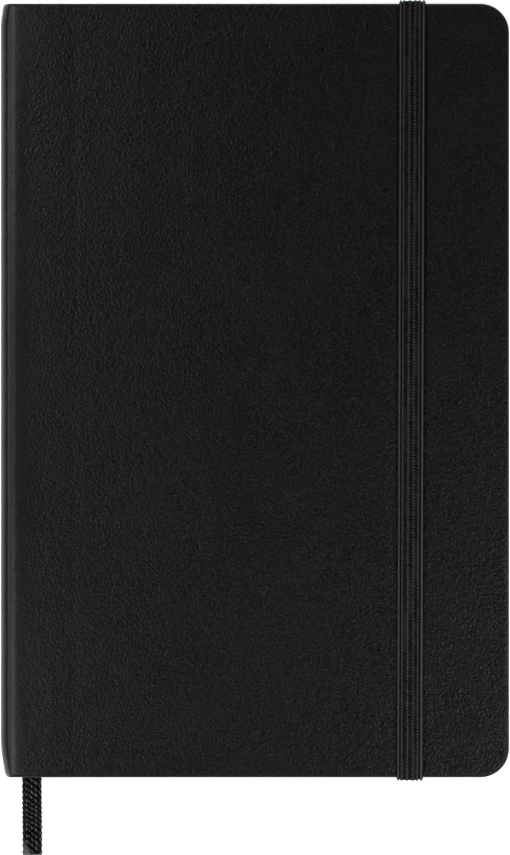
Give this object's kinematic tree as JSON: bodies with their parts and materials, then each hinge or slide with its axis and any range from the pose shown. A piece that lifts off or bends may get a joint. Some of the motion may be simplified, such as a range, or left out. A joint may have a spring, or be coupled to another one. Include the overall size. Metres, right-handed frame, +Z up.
{
  "type": "pocket notebook",
  "caption": "Soft-cover pocket notebook with rounded fore-edge corners, sewn page gatherings, a vertical elastic closure band and a woven ribbon marker.",
  "frame": {"origin": "centre of the covers' outline on the outer face of the back cover, which lies on the table", "axes": "+X to the fore edge, +Y to the head, +Z up through the front cover"},
  "size_m": [0.092, 0.1549, 0.0124],
  "materials": {
    "cover_leather": "satin",
    "board": "matte",
    "end_paper": "matte",
    "pages": "matte",
    "pocket_card": "matte",
    "pocket_cloth": "matte",
    "lining_cloth": "matte",
    "elastic": "satin",
    "ribbon": "satin",
    "thread": "matte"
  },
  "bodies": {
    "back_cover": {"back_skin": "cover_leather", "back_board": "board", "back_pastedown": "end_paper", "pocket_back": "end_paper", "pocket_gusset_head": "pocket_cloth", "pocket_gusset_tail": "pocket_cloth", "pocket_hinge_cloth": "pocket_cloth", "pocket_panel": "pocket_card", "spine_skin": "cover_leather", "spine_strip": "board", "spine_lining": "lining_cloth", "band_end_head": "elastic", "band_end_tail": "elastic"},
    "signature_12": {"signature_12": "pages", "thread_12": "thread", "back_flyleaf": "end_paper"},
    "signature_11": {"signature_11": "pages", "thread_11": "thread"},
    "signature_10": {"signature_10": "pages", "thread_10": "thread"},
    "signature_09": {"signature_09": "pages", "thread_09": "thread"},
    "signature_08": {"signature_08": "pages", "thread_08": "thread"},
    "signature_07": {"signature_07": "pages", "thread_07": "thread", "ribbon_bookmark": "ribbon"},
    "signature_06": {"signature_06": "pages", "thread_06": "thread"},
    "signature_05": {"signature_05": "pages", "thread_05": "thread"},
    "signature_04": {"signature_04": "pages", "thread_04": "thread"},
    "signature_03": {"signature_03": "pages", "thread_03": "thread"},
    "signature_02": {"signature_02": "pages", "thread_02": "thread"},
    "signature_01": {"signature_01": "pages", "thread_01": "thread", "front_flyleaf": "end_paper"},
    "front_cover": {"front_pastedown": "end_paper", "front_board": "board", "front_skin": "cover_leather"},
    "elastic_band": {"band_front": "elastic", "band_leg_head": "elastic", "band_leg_tail": "elastic"}
  },
  "joints": [
    {"name": "fold_12", "type": "hinge", "parent": "back_cover", "child": "signature_12", "pos_m": [-0.0461, 0, 0.00202], "axis": [0, -1, 0], "range_deg": [0, 0.61]},
    {"name": "fold_11", "type": "hinge", "parent": "signature_12", "child": "signature_11", "pos_m": [-0.0461, 0, 0.00285], "axis": [0, -1, 0], "range_deg": [0, 0.61]},
    {"name": "fold_10", "type": "hinge", "parent": "signature_11", "child": "signature_10", "pos_m": [-0.0461, 0, 0.00355], "axis": [0, -1, 0], "range_deg": [0, 0.61]},
    {"name": "fold_09", "type": "hinge", "parent": "signature_10", "child": "signature_09", "pos_m": [-0.0461, 0, 0.00425], "axis": [0, -1, 0], "range_deg": [0, 0.61]},
    {"name": "fold_08", "type": "hinge", "parent": "signature_09", "child": "signature_08", "pos_m": [-0.0461, 0, 0.00495], "axis": [0, -1, 0], "range_deg": [0, 0.61]},
    {"name": "fold_07", "type": "hinge", "parent": "signature_08", "child": "signature_07", "pos_m": [-0.0461, 0, 0.00565], "axis": [0, -1, 0], "range_deg": [0, 0.61]},
    {"name": "open", "type": "hinge", "parent": "signature_07", "child": "signature_06", "pos_m": [-0.0461, 0, 0.00635], "axis": [0, -1, 0], "range_deg": [0, 108.4], "deforming": ["spine_skin", "spine_strip", "spine_lining", "ribbon_bookmark"]},
    {"name": "fold_05", "type": "hinge", "parent": "signature_06", "child": "signature_05", "pos_m": [-0.0461, 0, 0.00705], "axis": [0, -1, 0], "range_deg": [0, 18.01]},
    {"name": "fold_04", "type": "hinge", "parent": "signature_05", "child": "signature_04", "pos_m": [-0.0461, 0, 0.00775], "axis": [0, -1, 0], "range_deg": [0, 13.01]},
    {"name": "fold_03", "type": "hinge", "parent": "signature_04", "child": "signature_03", "pos_m": [-0.0461, 0, 0.00845], "axis": [0, -1, 0], "range_deg": [0, 11.01]},
    {"name": "fold_02", "type": "hinge", "parent": "signature_03", "child": "signature_02", "pos_m": [-0.0461, 0, 0.00915], "axis": [0, -1, 0], "range_deg": [0, 9.01]},
    {"name": "fold_01", "type": "hinge", "parent": "signature_02", "child": "signature_01", "pos_m": [-0.0461, 0, 0.00985], "axis": [0, -1, 0], "range_deg": [0, 8.01]},
    {"name": "front_cover_hinge", "type": "hinge", "parent": "signature_01", "child": "front_cover", "pos_m": [-0.0461, 0, 0.01068], "axis": [0, -1, 0], "range_deg": [0, 10.01]},
    {"name": "band_release", "type": "slide", "parent": "back_cover", "child": "elastic_band", "axis": [1, 0, 0], "range_m": [0, 0.0215], "stiffness_N_per_m": 30, "deforming": ["band_front", "band_leg_head", "band_leg_tail"]}
  ],
  "couplings": [
    {"joint": "fold_12", "follows": "open", "ratio": 0.005535},
    {"joint": "fold_11", "follows": "open", "ratio": 0.005535},
    {"joint": "fold_10", "follows": "open", "ratio": 0.005535},
    {"joint": "fold_09", "follows": "open", "ratio": 0.005535},
    {"joint": "fold_08", "follows": "open", "ratio": 0.005535},
    {"joint": "fold_07", "follows": "open", "ratio": 0.005535},
    {"joint": "fold_05", "follows": "open", "ratio": 0.16605},
    {"joint": "fold_04", "follows": "open", "ratio": 0.11993},
    {"joint": "fold_03", "follows": "open", "ratio": 0.10148},
    {"joint": "fold_02", "follows": "open", "ratio": 0.083026},
    {"joint": "fold_01", "follows": "open", "ratio": 0.073801},
    {"joint": "front_cover_hinge", "follows": "open", "ratio": 0.092251}
  ]
}
